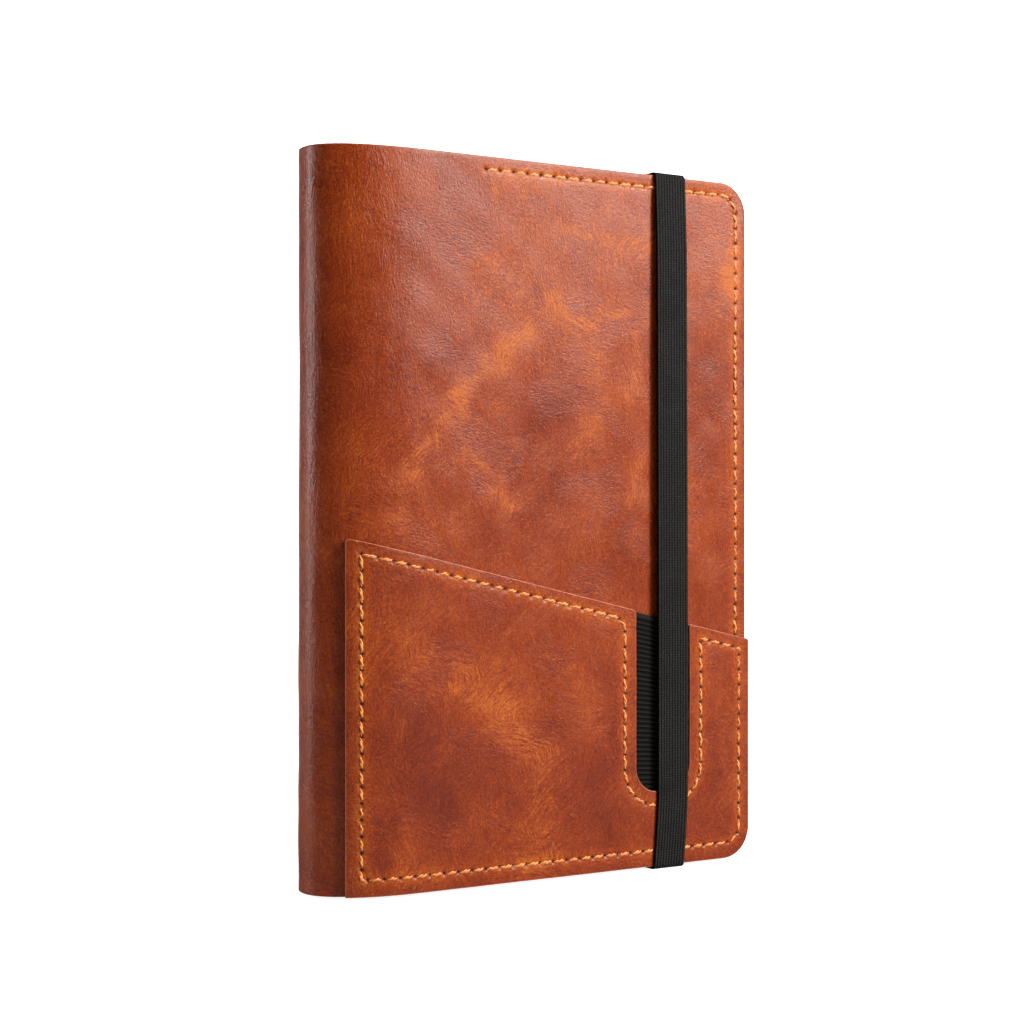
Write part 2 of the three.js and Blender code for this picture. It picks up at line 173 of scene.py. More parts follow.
def place(length, height, proud, side):
    """Points in space for places on a cover."""
    across = np.interp(length, LENGTHS, ACROSS) + np.interp(length, LENGTHS, NORMAL_ACROSS) * proud
    depth = np.interp(length, LENGTHS, DEPTHS) + np.interp(length, LENGTHS, NORMAL_DEPTH) * proud
    return np.stack([FORE_EDGE_X - across, MIDDLE_Y + side * (HALF_DEPTH - depth), height], axis=-1)


# ---- Outlines and paths ----


def rounded_path(corners, step, closed=True):
    """Corners are (across, height) or (across, height, radius). Long stretches are divided."""
    points = []
    count = len(corners)
    for index, corner in enumerate(corners):
        here = np.array(corner[:2], float)
        is_end = not closed and index in (0, count - 1)
        if len(corner) < 3 or is_end:
            points.append(here)
            continue
        before = np.array(corners[index - 1][:2], float)
        after = np.array(corners[(index + 1) % count][:2], float)
        points += corner_arc(here, before, after, corner[2], step)
    return divided(points, step, closed)


def panel_outline(near, far, low, high, corner, step):
    """A rectangle, anticlockwise, with its two corners at the fore-edge rounded."""
    return rounded_path([(near, low, corner), (far, low), (far, high), (near, high, corner)], step)


def corner_arc(here, before, after, radius, step):
    arriving = (here - before) / np.linalg.norm(here - before)
    leaving = (after - here) / np.linalg.norm(after - here)
    turned = math.atan2(arriving[0] * leaving[1] - arriving[1] * leaving[0], arriving @ leaving)
    start = here - arriving * radius * math.tan(abs(turned) / 2)
    centre = start + np.array([-arriving[1], arriving[0]]) * math.copysign(radius, turned)
    count = max(4, math.ceil(abs(turned) * radius / step))
    spoke = start - centre
    level = np.array([-spoke[1], spoke[0]])
    return [centre + (spoke * math.cos(a) + level * math.sin(a)) for a in np.linspace(0, turned, count + 1)]


def divided(points, step, closed):
    ends = points[1:] + points[:1] if closed else points[1:]
    made = []
    for start, end in zip(points, ends):
        count = max(1, round(np.linalg.norm(end - start) / step))
        made += [start + (end - start) * share / count for share in range(count)]
    if not closed:
        made.append(points[-1])
    return np.array(made)


def listed(*axes):
    """Points, or numbers to keep, as one list from an array for each axis."""
    return np.stack(np.broadcast_arrays(*axes), axis=-1).reshape(-1, len(axes))


def on_leather(path):
    """A path given in distance across, turned into length along the leather."""
    return listed(length_at(path[:, 0]), path[:, 1])


def left_of(ahead):
    """Unit vectors to the left of some directions."""
    ahead = ahead / np.linalg.norm(ahead, axis=-1, keepdims=True)
    return np.stack([-ahead[..., 1], ahead[..., 0]], axis=-1)


def inset_loop(loop, distance):
    """The loop moved inwards. The loop runs anticlockwise."""
    left_next = left_of(np.roll(loop, -1, axis=0) - loop)
    left_last = np.roll(left_next, 1, axis=0)
    middle = left_next + left_last
    return loop + distance * middle / (1 + np.sum(left_next * left_last, axis=1, keepdims=True))


def is_inside(loop, points):
    inside = np.zeros(len(points), bool)
    for start, end in zip(loop, np.roll(loop, -1, axis=0)):
        if start[1] == end[1]:
            continue
        crosses = (points[:, 1] < start[1]) != (points[:, 1] < end[1])
        reach = start[0] + (points[:, 1] - start[1]) * (end[0] - start[0]) / (end[1] - start[1])
        inside ^= crosses & (points[:, 0] < reach)
    return inside


def distance_to(samples, points):
    """How far each point is from the nearest sample."""
    tree = KDTree(len(samples))
    for index, sample in enumerate(samples):
        tree.insert((*sample, 0), index)
    tree.balance()
    return np.array([tree.find((*point, 0))[2] for point in points])


# ---- Small unevenness and painted marks ----


def ripple(x, z, wavelength, seed):
    """Gentle random waves between about -1 and 1."""
    random = np.random.default_rng(seed)
    total = np.zeros_like(x)
    for _ in range(7):
        angle = random.uniform(0, math.tau)
        number = math.tau / wavelength * random.uniform(0.6, 1.5)
        total += np.sin(number * (x * math.cos(angle) + z * math.sin(angle)) + random.uniform(0, 6.28))
    return total / 3.2


def strokes(across, height, brush):
    """How strongly soft brush strokes cover each place. A stroke is (width, strength, points)."""
    across = across + 1.8 * ripple(across, height, 14, 5) + 0.8 * ripple(across, height, 5, 6)
    height = height + 1.8 * ripple(across, height, 12, 7) + 0.8 * ripple(across, height, 4, 8)
    total = np.zeros_like(across)
    for width, strength, *points in brush:
        nearest = np.full_like(across, np.inf)
        for (a0, h0), (a1, h1) in zip(points, points[1:]):
            span = (a1 - a0) ** 2 + (h1 - h0) ** 2
            share = np.clip(((across - a0) * (a1 - a0) + (height - h0) * (h1 - h0)) / span, 0, 1)
            gap = np.hypot(across - a0 - share * (a1 - a0), height - h0 - share * (h1 - h0))
            nearest = np.minimum(nearest, gap)
        total += strength * np.exp(-((nearest / width) ** 2))
    return total


COVER_GLOW_AND_PAINTED_LIGHT = [
    (3.6, 0.75, (85, 167), (105, 153), (109, 147)),
    (3.2, 0.6, (109, 147), (119, 134), (129, 122)),
    (3, 0.65, (108, 131), (99, 123), (90, 116)),
    (2.8, 0.7, (76, 179), (68, 171), (58, 174), (49, 177)),
    (2, 0.5, (72, 203), (65, 200), (54, 198), (40, 198)),
    (3.5, 0.6, (95, 212), (83, 213)),
    (3, 0.75, (7, 198), (7.5, 190), (6, 185)),
    (3, 0.5, (41, 176), (43, 165), (46, 150)),
    (3, 0.5, (42, 130), (47, 118)),
    (5, 0.3, (62, 140), (66, 125), (60, 112)),
    (4, 0.35, (130, 110), (127, 98), (131, 88)),
    # Painted light: this broad stroke lightens the top of the cover, where the light falls strongest.
    (30, 0.3, (20, 200), (75, 200)),
    (5, 0.35, (96, 190), (104, 178)),
    (5, 0.3, (60, 165), (56, 150), (62, 140)),
    (5, 0.3, (24, 120), (22, 105)),
]
COVER_SHADE = [
    (8, 0.45, (100, 171), (112, 160)),
    (6.5, 0.4, (78, 143), (70, 150)),
    (7, 0.45, (98, 108), (84, 100)),
    (7, 0.25, (128, 150), (132, 170)),
    (5, 0.3, (14, 150), (18, 140), (12, 128)),
    (5, 0.3, (16, 190), (14, 180)),
    (6, 0.3, (60, 94), (48, 100)),
]
POCKET_GLOW = [
    (6, 0.4, (130, 79), (124, 73)),
    (6, 0.6, (108, 66), (103, 61), (95, 52)),
    (6, 0.8, (88, 45), (82, 39), (78, 30)),
    (6, 0.6, (84, 16), (80, 8)),
    (4, 0.5, (128, 22), (129, 8)),
    (6, 0.3, (66, 60), (60, 45)),
    (4, 0.35, (98, 24), (110, 16)),
    (4, 0.3, (12, 60), (11, 40), (9, 22)),
]
POCKET_SHADE = [
    (8, 0.7, (122, 52), (124, 36), (118, 28)),
    (7, 0.35, (104, 38), (98, 30)),
    (4, 0.6, (134, 22), (135, 10)),
    (5, 0.35, (66, 74), (62, 66)),
    (6, 0.4, (62, 22), (54, 12)),
    (5, 0.3, (112, 14), (104, 8)),
    (4, 0.35, (133, 66), (130, 58)),
]

# ---- Making pieces ----


def new_object(name, data):
    made = bpy.data.objects.new(name, data)
    bpy.context.collection.objects.link(made)
    return made


def new_piece(name, points, faces, skins, face_skins=None, **fields):
    """A mesh object. Points are in millimetres, and fields are values kept for its materials."""
    mesh = bpy.data.meshes.new(name)
    mesh.from_pydata((np.asarray(points) * MM).tolist(), [], faces)
    for skin in skins:
        mesh.materials.append(skin)
    mesh.shade_smooth()
    if face_skins is not None:
        mesh.polygons.foreach_set("material_index", np.asarray(face_skins, np.int32))
    for field, values in fields.items():
        kind, part = ("FLOAT_VECTOR", "vector") if values.ndim == 2 else ("FLOAT", "value")
        layer = mesh.attributes.new(field, kind, "POINT")
        layer.data.foreach_set(part, values.astype(np.float32).ravel())
    mesh.update()
    return new_object(name, mesh)


def finish_piece(piece, body, slot, *nodes):
    """body is the body that the piece rides on, or a side, for which the piece keeps its place with the
    transform baked into its mesh. nodes are the CAD nodes that it stands for."""
    if isinstance(body, str):
        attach(piece, body)
    else:
        bend_at_fold(piece)
    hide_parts(*nodes)
    return piece


def bend_at_fold(piece):
    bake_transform(piece)


class Seam:
    """A row of saddle stitches. Holes are evenly spaced along the path."""

    def __init__(self, corners, pitch, closed=False):
        self.closed = closed
        path = rounded_path(corners, 0.25, closed)
        if closed:
            path = np.concatenate([path, path[:1]])
        self.path = on_leather(path)
        self.reach = reach_along(self.path)
        self.count = round(self.reach[-1] / pitch)
        self.pitch = self.reach[-1] / self.count
        self.holes = self.at(self.pitch * np.arange(self.count if closed else self.count + 1))

    def at(self, reach):
        if self.closed:
            reach = np.mod(reach, self.reach[-1])
        return np.stack([np.interp(reach, self.reach, self.path[:, axis]) for axis in (0, 1)], axis=-1)

    def left(self, reach):
        """The unit vector to the left of the seam."""
        after = self.at(np.minimum(reach + 0.4, self.reach[-1] - 1e-6))
        return left_of(after - self.at(np.maximum(reach - 0.4, 0)))

    def extra_points(self):
        """Mesh points that give the groove its slopes and each hole its pit."""
        reach = np.arange(0.4, self.reach[-1] - 0.4, 0.8)
        rows = [self.at(reach) + self.left(reach) * offset for offset in (-1.5, -0.9, 0, 0.9, 1.5)]
        rows = np.concatenate(rows)
        rows = rows[distance_to(self.holes, rows) > 0.85]
        rings = [self.holes]
        for radius, spokes, turned in ((0.55, 6, 0), (1.25, 8, 0.5)):
            for angle in math.tau * (np.arange(spokes) + turned) / spokes:
                rings.append(self.holes + PIT_RADIUS * radius * np.array([math.cos(angle), math.sin(angle)]))
        return np.concatenate([rows] + rings)

    def relief(self, places):
        """The groove under the thread and the pits, and how deep in a pit each place is."""
        gap = distance_to(self.path, places)
        pit = np.clip(1 - distance_to(self.holes, places) / PIT_RADIUS, 0, 1)
        groove = -0.1 * np.exp(-((gap / 0.75) ** 2))
        return groove - 0.6 * pit, pit, gap


SKIN_ROWS = 3  # rows of the rim that have the face's skin
ROUNDED_RIM = ((0.5, 0), (0.15, 0.06), (0, 0.24), (0, 0.76), (0.06, 0.88), (0.2, 0.965), (0.5, 1))


def sheet(name, outline, side, inner, outer, skins, rim=ROUNDED_RIM, spacing=1.25, fold_spacing=None,
          seams=(), relief=None, glow=(), shade=(), straight_edge=math.inf):
    """A sheet with thickness that follows a cover. inner and outer are how proud its faces stand, as
    numbers or functions of the place. rim rows are (inset from the outline, share of the thickness).
    The sheet is left open along straight_edge, where its other half goes on."""
    rings = [outline_ring(outline, inset, straight_edge) for inset, _ in rim]
    top = sheet_inside(rings[-1], spacing, fold_spacing, seams)
    bottom = sheet_inside(rings[0], max(spacing * 2.5, 3), fold_spacing and fold_spacing * 1.5, ())
    places = np.concatenate(rings + [top, bottom])
    shares = np.concatenate([np.full(len(outline), share) for _, share in rim]
                            + [np.ones(len(top)), np.zeros(len(bottom))])

    count = len(outline)
    ids = list(range(len(places)))
    top_end = len(rim) * count + len(top)
    faces = quads(0, len(rim), count)
    faces = [face for face in faces if min(places[face[0], 0], places[face[1], 0]) < straight_edge - 1e-6]
    walls = len(faces)
    faces += cap_faces(places, ids[(len(rim) - 1) * count:top_end], count)
    tops = len(faces)
    faces += [face[::-1] for face in cap_faces(places, ids[:count] + ids[top_end:], count)]
    if side == FRONT:
        faces = [face[::-1] for face in faces]
    face_skins = np.full(len(faces), len(skins) - 1)
    face_skins[max(0, walls - SKIN_ROWS * count):tops] = 0

    length, height = places.T
    low = inner(length, height) if callable(inner) else inner
    high = outer(length, height) if callable(outer) else outer
    proud = low + (high - low) * shares
    pit = np.zeros(len(places))
    halo = np.zeros(len(places))
    for seam in seams:
        dent, seam_pit, gap = seam.relief(places)
        proud += dent * shares ** 3
        pit = np.maximum(pit, seam_pit * shares ** 3)
        halo = np.maximum(halo, np.exp(-((gap / 2.3) ** 2)))
    if relief:
        proud += relief(length, height) * shares
    edge = distance_to(outline[outline[:, 0] < straight_edge - 1e-6], places)
    marks = listed(strokes(length, height, glow), strokes(length, height, shade), edge)
    rest = listed(side * (HALF_LENGTH - length), height, proud)
    return new_piece(name, place(length, height, proud, side), faces, skins, face_skins,
                     sheet_mm=rest, marks=marks, pit=pit, halo=halo)


def outline_ring(outline, inset, straight_edge):
    ring = inset_loop(outline, inset)
    ring[outline[:, 0] >= straight_edge - 1e-6, 0] = straight_edge
    return ring


def sheet_inside(ring, spacing, fold_spacing, seams):
    """Points inside the ring: rows along the seams and an even spread between them."""
    extra = np.concatenate([np.zeros((0, 2))] + [seam.extra_points() for seam in seams])
    extra = extra[is_inside(ring, extra)]
    extra = extra[distance_to(ring, extra) > 0.35]
    spans = [(spacing, ring[:, 0].min(), ring[:, 0].max())]
    if fold_spacing:
        fold_length = length_at(CURVE_START + 4)
        spans = [(spacing, spans[0][1], fold_length),
                 (fold_spacing, fold_length + fold_spacing / 2, spans[0][2])]
    spread = np.concatenate([even_spread(ring, *span) for span in spans])
    spread = spread[is_inside(ring, spread)]
    taken = np.concatenate([ring, extra])
    spread = spread[distance_to(taken, spread) > min(spacing, 1.5) * 0.55]
    return np.concatenate([extra, spread])


def even_spread(ring, spacing, start, end):
    columns = np.arange(start + spacing * 0.6, end, spacing)
    rows = np.arange(ring[:, 1].min() + spacing * 0.6, ring[:, 1].max(), spacing * 0.9)
    across, height = np.meshgrid(columns, rows)
    across = across + spacing / 2 * (np.arange(len(rows)) % 2)[:, None]
    spread = listed(across, height)
    return spread[spread[:, 0] < end - spacing * 0.3]


def quads(first, rows, count, wraps=True):
    """Faces between rows of points. Each row is a closed loop unless wraps is False."""
    faces = []
    for row in range(rows - 1):
        base = first + row * count
        for index in range(count if wraps else count - 1):
            after = (index + 1) % count
            faces.append((base + index, base + after, base + count + after, base + count + index))
    return faces


def cap_faces(places, ids, count):
    """Triangles between the places with these ids. The first ones are the outline."""
    points = [Vector(places[index]) for index in ids]
    _, _, faces, origins, _, _ = delaunay_2d_cdt(points, [], [list(range(count))], 1, 1e-5)
    ids_of = [ids[origin[0]] for origin in origins]
    return [tuple(ids_of[corner] for corner in face) for face in faces]


def stitches(name, seam, side, surface, body, node, facing=1, thickness=0.55):
    """Thread for every stitch of a seam: two strands twisted together, down through a hole at each end.
    surface is how proud the sewn face is, and facing is -1 when it faces into the cover."""
    share = np.linspace(0, 1, 15)
    around = np.linspace(0, math.tau, 12, endpoint=False)
    rise = 1 - np.abs(2 * share - 1) ** 2.1
    sink = -0.95 + 0.88 * rise
    girth = 0.5 + 0.5 * rise ** 0.7
    points, faces, rest = [], [], []
    for index in range(seam.count):
        reach = seam.pitch * (index + share)
        left = seam.left(reach)
        sway = STITCH_SLANT * facing * side * (share - 0.5)
        centre = seam.at(reach) + left * sway[:, None]
        twist = share * 2 * math.pi * 1.15 + index * 0.7
        angle = around[None, :] - twist[:, None]
        lobe = 0.42 * np.abs(np.cos(angle))
        radius = lobe + np.sqrt(np.maximum(0.36 - (0.42 * np.sin(angle)) ** 2, 0.01))
        radius = radius * thickness * girth[:, None]
        sideways = radius * np.cos(around)
        upwards = radius * np.sin(around) * 0.9
        across = centre[:, :1] + left[:, :1] * sideways
        height = centre[:, 1:] + left[:, 1:] * sideways
        proud = surface + facing * (sink[:, None] + upwards)
        first = index * len(share) * len(around)
        points.append(place(across, height, proud, side).reshape(-1, 3))
        rest.append(listed(share[:, None] * seam.pitch, angle, index))
        faces += tube_faces(first, len(share), len(around))
    piece = new_piece(name, np.concatenate(points), faces, [thread], sheet_mm=np.concatenate(rest))
    finish_piece(piece, body, "thread", node)


def tube_faces(first, rows, count):
    last = first + (rows - 1) * count
    ends = [tuple(range(first, first + count))[::-1], tuple(range(last, last + count))]
    return quads(first, rows, count) + ends


# ---- Shaders ----


RIB_PITCH = 1.07
LOOP_PITCH = 0.8
YARN_PITCH = 0.55
HAIRLINE_WIDTH = 0.012
RULING_PITCH = 7


def srgb(red, green, blue):
    """A colour given as it looks on a screen, 0 to 255, as the shader wants it."""
    linear = [((value / 255 + 0.055) / 1.055) ** 2.4 if value > 10 else value / 255 / 12.92
              for value in (red, green, blue)]
    return (*linear, 1)


class Value:
    """A shader socket, with short ways to work on it."""

    def __init__(self, skin, socket):
        self.skin = skin
        self.socket = socket

    def __add__(self, other):
        return self.math("ADD", other)

    def __sub__(self, other):
        return self.math("SUBTRACT", other)

    def __mul__(self, other):
        return self.math("MULTIPLY", other)

    def math(self, operation, other=0, clamp=False):
        return self.skin.value("Math", 0, {0: self, 1: other}, operation=operation, use_clamp=clamp)

    def vector_math(self, operation, inputs):
        return self.skin.value("VectorMath", 0, {0: self, **inputs}, operation=operation)

    def parts(self):
        """The three numbers in a vector."""
        return [Value(self.skin, socket) for socket in self.skin.add("SeparateXYZ", {0: self}).outputs]

    def between(self, low, high, to_low=0, to_high=1):
        sockets = {0: self, "From Min": low, "From Max": high, "To Min": to_low, "To Max": to_high}
        return self.skin.value("MapRange", "Result", sockets, interpolation_type="SMOOTHSTEP")

    def scaled(self, scale, angle=0, shift=(0, 0, 0)):
        """The vector turned by an angle, then stretched."""
        scale = tuple(1 / number for number in scale)
        sockets = {0: self, "Location": shift, "Rotation": (0, 0, angle), "Scale": scale}
        return self.skin.value("Mapping", "Vector", sockets, vector_type="TEXTURE")

    def noise(self, scale, detail=2, rough=0.5, wobble=0, output="Fac"):
        sockets = {0: self, "Scale": scale, "Detail": detail, "Roughness": rough, "Distortion": wobble}
        return self.skin.value("TexNoise", output, sockets)

    def wave(self, scale, distortion, detail, direction="X"):
        sockets = {0: self, "Scale": scale, "Distortion": distortion, "Detail": detail}
        return self.skin.value("TexWave", "Fac", sockets, bands_direction=direction)

    def ramp(self, *stops):
        """Colours from (position, red, green, blue) stops."""
        node = self.skin.add("ValToRGB", {"Fac": self})
        elements = node.color_ramp.elements
        while len(elements) < len(stops):
            elements.new(0.5)
        for element, (position, *colour) in zip(elements, stops):
            element.position = position
            element.color = srgb(*colour)
        return Value(self.skin, node.outputs["Color"])

    def mix(self, first, second):
        """The first colour where this is 0, the second where it is 1."""
        return self.skin.value("Mix", 2, {0: self, 6: first, 7: second}, data_type="RGBA")

    def bump(self, distance, below=None):
        node = self.skin.add("Bump", {"Height": self, "Strength": 1, "Distance": distance * MM})
        if below is not None:
            self.skin.set(node.inputs["Normal"], below)
        return Value(self.skin, node.outputs["Normal"])


class Skin:
    """A material, with short ways to add shader nodes."""

    def __init__(self, name, roughness, **sockets):
        self.material = bpy.data.materials.new(name)
        self.material.use_nodes = True
        self.tree = self.material.node_tree
        self.surface = self.tree.nodes["Principled BSDF"].inputs
        self.surface["Roughness"].default_value = roughness
        for socket, value in sockets.items():
            self.surface[socket.replace("_", " ")].default_value = value

    def set(self, socket, value):
        if isinstance(value, Value):
            self.tree.links.new(value.socket, socket)
        else:
            socket.default_value = value

    def add(self, kind, inputs=None, **settings):
        node = self.tree.nodes.new("ShaderNode" + kind)
        for setting, value in settings.items():
            setattr(node, setting, value)
        for socket, value in (inputs or {}).items():
            self.set(node.inputs[socket], value)
        return node

    def value(self, kind, output, inputs=None, **settings):
        return Value(self, self.add(kind, inputs, **settings).outputs[output])

    def field(self, name, output="Vector"):
        """Values that new_piece kept with the mesh."""
        return self.value("Attribute", output, attribute_name=name)

    def own_place(self):
        """Millimetres in the object's own space, for CAD nodes, which have no kept fields."""
        return self.value("TexCoord", "Object").scaled((1000, 1000, 1000))

    def finish(self, colour, bump=None, roughness=None):
        for socket, value in (("Base Color", colour), ("Normal", bump), ("Roughness", roughness)):
            if value is not None:
                self.set(self.surface[socket], value)
        return self.material


def hairlines(spot, angle, seed):
    """Long thin scratches in one direction, broken up into patches."""
    stretched = spot.scaled((0.013, 0.3, 0.3), angle, (seed * 53, seed * 71, 0))
    value = stretched.noise(1, 0, 0)
    line = (value - 0.5).math("ABSOLUTE").between(0, HAIRLINE_WIDTH, 1, 0)
    patch = spot.scaled((0.045, 0.075, 0.05), angle, (seed * 97, 0, 0)).noise(1, 2)
    return line * patch.between(0.56, 0.7)


def turning_grain(skin, spot, region, stretch, wobble):
    """Stretched noise whose direction changes from place to place."""
    value = spot.scaled(stretch, 0.25).noise(1, 2, 0.6, wobble)
    for angle, low, high in ((1.35, 0.42, 0.5), (2.4, 0.52, 0.6)):
        turned = spot.scaled(stretch, angle).noise(1, 2, 0.6, wobble)
        share = region.between(low, high)
        value = skin.value("Mix", 0, {0: share, 2: value, 3: turned}, data_type="FLOAT")
    return value


def leather(name, seed, tone_shift=0, hair=0.14):
    """Waxed pull-up leather: brown, paler orange where it has been bent or pressed, with fine grain. On the
    cover the glow marks also hold painted light along the top.
    """
    skin = Skin(name, 0.4, Specular_IOR_Level=0.2)
    spot = skin.field("sheet_mm").scaled((1, 1, 1), 0, (seed * 37, seed * 91, 0))
    drift = spot.noise(0.05, 1, output="Color")
    drift = drift.vector_math("SUBTRACT", {1: (0.5, 0.5, 0.5)})
    drift = drift.vector_math("SCALE", {"Scale": 10})
    moved = spot.vector_math("ADD", {1: drift})

    region = spot.noise(0.04, 1)
    clouds = moved.noise(0.022, 2, 0.5)
    patches = moved.noise(0.08, 3, 0.5)
    wrinkle = turning_grain(skin, spot, region, (0.75, 2.2, 1), 0.6)
    fibres = turning_grain(skin, moved, region, (0.11, 1.3, 1), 0.1)
    speckle = spot.noise(1.6, 3, 0.7)

    glow, shade, edge = skin.field("marks").parts()
    halo = skin.field("halo", "Fac")
    pit = skin.field("pit", "Fac")

    tone = (clouds - 0.5) * 0.6
    for layer, weight in ((patches, 0.5), (wrinkle, 1), (fibres, 0.6), (speckle, 1.3)):
        tone = tone + (layer - 0.5) * weight
    broken = fibres.between(0.3, 0.7, 0.6, 1.25) * wrinkle.between(0.3, 0.7, 0.8, 1.2)
    # On the cover this also carries painted light: the broad stroke along the top of the glow marks.
    pull_up_and_painted_light = glow * broken
    tone = tone + pull_up_and_painted_light * 0.44 - shade * 0.3 + halo * 0.3
    tone = tone.math("ADD", 0.42 + tone_shift, clamp=True)

    lines = hairlines(moved, 0.6, seed + 1)
    for angle, step in ((-0.75, 2), (1.35, 3)):
        lines = lines.math("MAXIMUM", hairlines(moved, angle, seed + step))

    colour = tone.ramp((0, 93, 30, 13), (0.25, 111, 39, 15), (0.5, 129, 50, 17), (0.75, 147, 66, 19),
                       (1, 167, 86, 24))
    colour = (lines * hair).mix(colour, srgb(200, 120, 76))
    # Partly the paler cut edge and partly painted highlight: a pale line within 0.4 mm of the outline.
    colour = edge.between(0.05, 0.4, 0.5, 0).mix(colour, srgb(196, 116, 80))
    # Painted shade: dark brown in the stitch holes, darkest at each hole's centre.
    colour = pit.between(0.15, 0.6).mix(colour, srgb(52, 17, 8))

    pebble = skin.value("TexVoronoi", "Distance", {"Vector": spot, "Scale": 1.25}, feature="SMOOTH_F1")
    grain = pebble * 0.35 + wrinkle + speckle * 0.6 - lines * 0.15
    from_spine = skin.field("sheet_mm").parts()[0].math("ABSOLUTE")
    at_spine = from_spine.between(18, 44, 1, 0)
    crease = moved.scaled((1.3, 0.3, 0.3)).noise(1, 3, 0.6, 0.5) * at_spine
    bump = crease.bump(0.16, grain.bump(0.09))
    roughness = patches.between(0.3, 0.7, 0.25, 0.31) + pull_up_and_painted_light * 0.16
    return skin.finish(colour, bump, roughness)


def flesh_side(name):
    """The cut edge and the unfinished back of the leather."""
    skin = Skin(name, 0.85, Sheen_Weight=0.25)
    spot = skin.field("sheet_mm")
    fibres = spot.scaled((1.2, 1.2, 6)).noise(1, 4, 0.65)
    blotch = spot.noise(0.09, 3)
    value = fibres * 0.7 + blotch * 0.5
    colour = value.ramp((0.3, 122, 62, 40), (0.6, 168, 98, 68), (0.85, 198, 134, 100))
    return skin.finish(colour, fibres.bump(0.12))


def lining_cloth(name):
    skin = Skin(name, 0.9, Sheen_Weight=0.3)
    spot = skin.field("sheet_mm")
    weave = spot.scaled((2.4, 2.4, 2.4), 0.785).wave(1, 0.6, 2)
    value = weave * 0.3 + spot.noise(2, 3) * 0.7
    colour = value.ramp((0.25, 112, 74, 66), (0.75, 176, 132, 118))
    return skin.finish(colour, weave.bump(0.08))


def waxed_thread(name):
    """Two-ply thread. The first number kept in sheet_mm runs along the stitch, the second round it."""
    skin = Skin(name, 0.5, Sheen_Weight=0.2)
    strand = skin.field("sheet_mm")
    fibres = strand.scaled((1.6, 2.4, 3.1)).noise(1, 3, 0.6)
    between_strands = strand.parts()[1].math("COSINE").math("ABSOLUTE")
    uneven = strand.scaled((0.02, 0.02, 0.83)).noise(1, 1)
    # Painted light and shade: the colour darkens in the groove between the two strands and lightens on their
    # crests.
    value = between_strands.between(0, 0.55, 0.35, 0.8) * fibres.between(0.25, 0.75, 0.8, 1.15)
    value = value * uneven.between(0.3, 0.7, 0.88, 1.1)
    colour = value.ramp((0.2, 118, 50, 16), (0.5, 194, 104, 38), (0.85, 224, 142, 66))
    return skin.finish(colour, fibres.bump(0.08))


def woven_elastic(name):
    """Knitted black elastic: lengthwise ribs with a small herringbone of loops."""
    skin = Skin(name, 0.8, Specular_IOR_Level=0.1)
    across, along_band, _ = skin.field("sheet_mm").parts()
    rib = (across * (math.pi / RIB_PITCH)).math("COSINE").math("ABSOLUTE")
    lean = across.math("PINGPONG", RIB_PITCH / 2)
    loop_phase = along_band * (math.tau / LOOP_PITCH) + lean * 6.5
    loops = loop_phase.math("SINE").between(-0.7, 0.9)
    fuzz = skin.field("sheet_mm").noise(5, 2)
    wear = skin.field("sheet_mm").noise(0.12, 3)
    # Painted light and shade: the colour follows the ribs' height, lighter on the crests and darker in the
    # grooves.
    value = rib.between(0.15, 0.9, 0.05, 1) * (loops * 0.22 + 0.58)
    value = value + (fuzz - 0.5) * 0.9 + (wear - 0.5) * 0.2
    colour = value.ramp((0.1, 2, 2, 2), (0.5, 15, 15, 15), (1, 54, 54, 52))
    return skin.finish(colour, (loops * 0.6 + fuzz * 0.4).bump(0.12))


def ribbed_elastic(name):
    """The pen loop's elastic. The third number kept in sheet_mm counts its ribs."""
    skin = Skin(name, 0.8, Specular_IOR_Level=0.1)
    across, _, rib_phase = skin.field("sheet_mm").parts()
    rib = (rib_phase * math.tau).math("COSINE")
    yarn = (across * (math.tau / YARN_PITCH)).math("SINE")
    fuzz = skin.field("sheet_mm").noise(4, 2)
    # Painted light and shade: the colour follows the ribs' height, lighter on the crests and darker in the
    # grooves.
    value = rib.between(-0.4, 0.95, 0.05, 0.7) + yarn * 0.06 + (fuzz - 0.5) * 0.4
    colour = value.ramp((0.1, 1, 1, 1), (0.5, 7, 7, 7), (1, 42, 41, 37))
    return skin.finish(colour, (yarn * 0.3 + fuzz).bump(0.07))


def book_cloth(name, is_cad=False):
    """Black woven cloth, for a new piece or for a CAD node, which stands upright."""
    skin = Skin(name, 0.7, Sheen_Weight=0.1)
    spot = skin.own_place() if is_cad else skin.field("sheet_mm")
    warp = spot.wave(0.9, 0.8, 1)
    weft = spot.wave(0.9, 0.8, 1, "Z" if is_cad else "Y")
    weave = warp.math("MAXIMUM", weft)
    value = weave * 0.45 + spot.noise(0.2, 3) * 0.5
    colour = value.ramp((0.2, 22, 22, 25), (0.9, 62, 62, 67))
    return skin.finish(colour, weave.bump(0.06))


